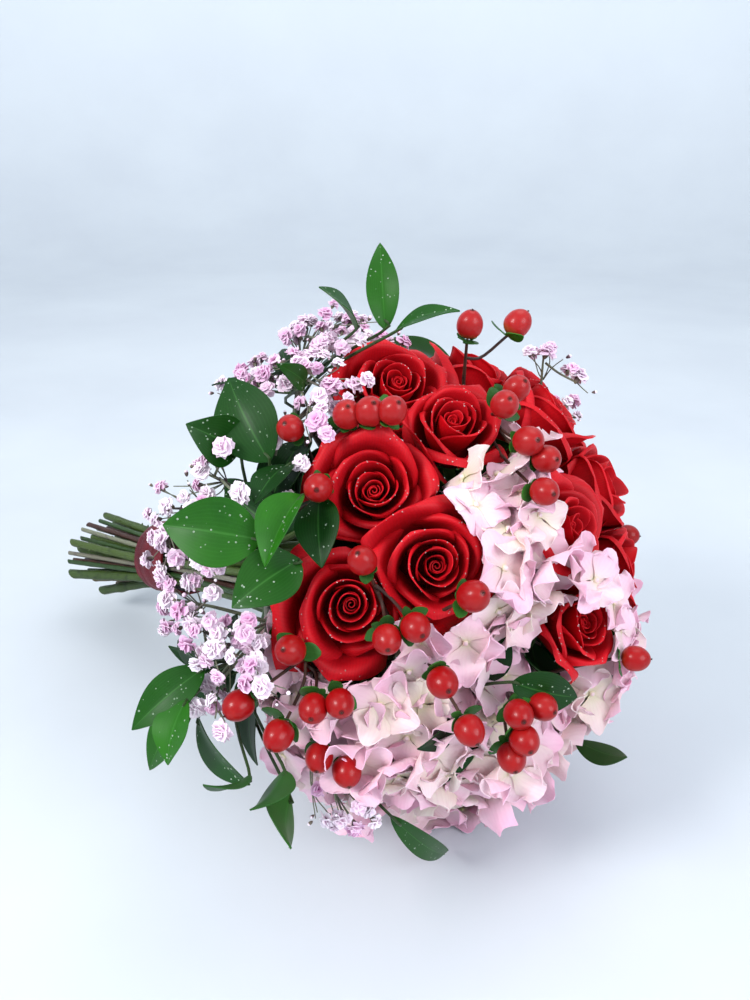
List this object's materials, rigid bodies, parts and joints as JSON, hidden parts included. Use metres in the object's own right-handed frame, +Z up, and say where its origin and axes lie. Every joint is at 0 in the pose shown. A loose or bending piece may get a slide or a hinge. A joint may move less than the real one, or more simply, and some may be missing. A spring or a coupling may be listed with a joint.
{
  "type": "bridal bouquet",
  "caption": "Hand-tied round bouquet of red roses, pink hydrangeas, red hypericum berries, ruscus and baby's breath, bound with a satin ribbon and lying on its side.",
  "frame": {"origin": "the middle of the flat spot under the lowest hydrangea head, on the table", "axes": "+Z up, +X along the bouquet from the cut stems to the flowers, +Y to the far side of the picture"},
  "size_m": [0.4449, 0.3135, 0.2996],
  "materials": {
    "rose_petal": "velvety",
    "hydrangea_sepal": "soft matt",
    "rose_stem": "satin green",
    "hydrangea_stem": "satin brown-green",
    "hypericum": "glossy",
    "ruscus_leaf": "waxy",
    "babys_breath": "matt",
    "ribbon_satin": "satin"
  },
  "bodies": {
    "root": {"rose_stem_01": "rose_stem", "rose_stem_02": "rose_stem", "rose_stem_03": "rose_stem", "rose_stem_04": "rose_stem", "rose_stem_05": "rose_stem", "rose_stem_06": "rose_stem", "rose_stem_07": "rose_stem", "rose_stem_08": "rose_stem", "rose_stem_09": "rose_stem", "rose_stem_10": "rose_stem", "rose_stem_11": "rose_stem", "rose_stem_12": "rose_stem", "rose_stem_13": "rose_stem", "rose_stem_14": "rose_stem", "rose_stem_15": "rose_stem", "rose_stem_16": "rose_stem", "hydrangea_stem_1": "hydrangea_stem", "hydrangea_stem_2": "hydrangea_stem", "hydrangea_stem_3": "hydrangea_stem", "hydrangea_stem_4": "hydrangea_stem", "hydrangea_stem_5": "hydrangea_stem", "hydrangea_stem_6": "hydrangea_stem", "rose_bloom_01": "rose_petal", "rose_bloom_02": "rose_petal", "rose_bloom_03": "rose_petal", "rose_bloom_04": "rose_petal", "rose_bloom_05": "rose_petal", "rose_bloom_06": "rose_petal", "rose_bloom_07": "rose_petal", "rose_bloom_08": "rose_petal", "rose_bloom_09": "rose_petal", "rose_bloom_10": "rose_petal", "rose_bloom_11": "rose_petal", "rose_bloom_12": "rose_petal", "rose_bloom_13": "rose_petal", "rose_bloom_14": "rose_petal", "rose_bloom_15": "rose_petal", "rose_bloom_16": "rose_petal", "hydrangea_head_1": "hydrangea_sepal", "hydrangea_head_2": "hydrangea_sepal", "hydrangea_head_3": "hydrangea_sepal", "hydrangea_head_4": "hydrangea_sepal", "hydrangea_head_5": "hydrangea_sepal", "hydrangea_head_6": "hydrangea_sepal", "hypericum_spray_1": "hypericum", "hypericum_spray_2": "hypericum", "hypericum_spray_3": "hypericum", "hypericum_spray_4": "hypericum", "hypericum_spray_5": "hypericum", "hypericum_spray_6": "hypericum", "ruscus_spray_1": "ruscus_leaf", "ruscus_spray_2": "ruscus_leaf", "ruscus_spray_3": "ruscus_leaf", "ruscus_spray_4": "ruscus_leaf", "ruscus_spray_5": "ruscus_leaf", "babys_breath_spray_1": "babys_breath", "babys_breath_spray_2": "babys_breath", "babys_breath_spray_3": "babys_breath", "babys_breath_spray_4": "babys_breath", "ribbon": "ribbon_satin"}
  },
  "joints": []
}
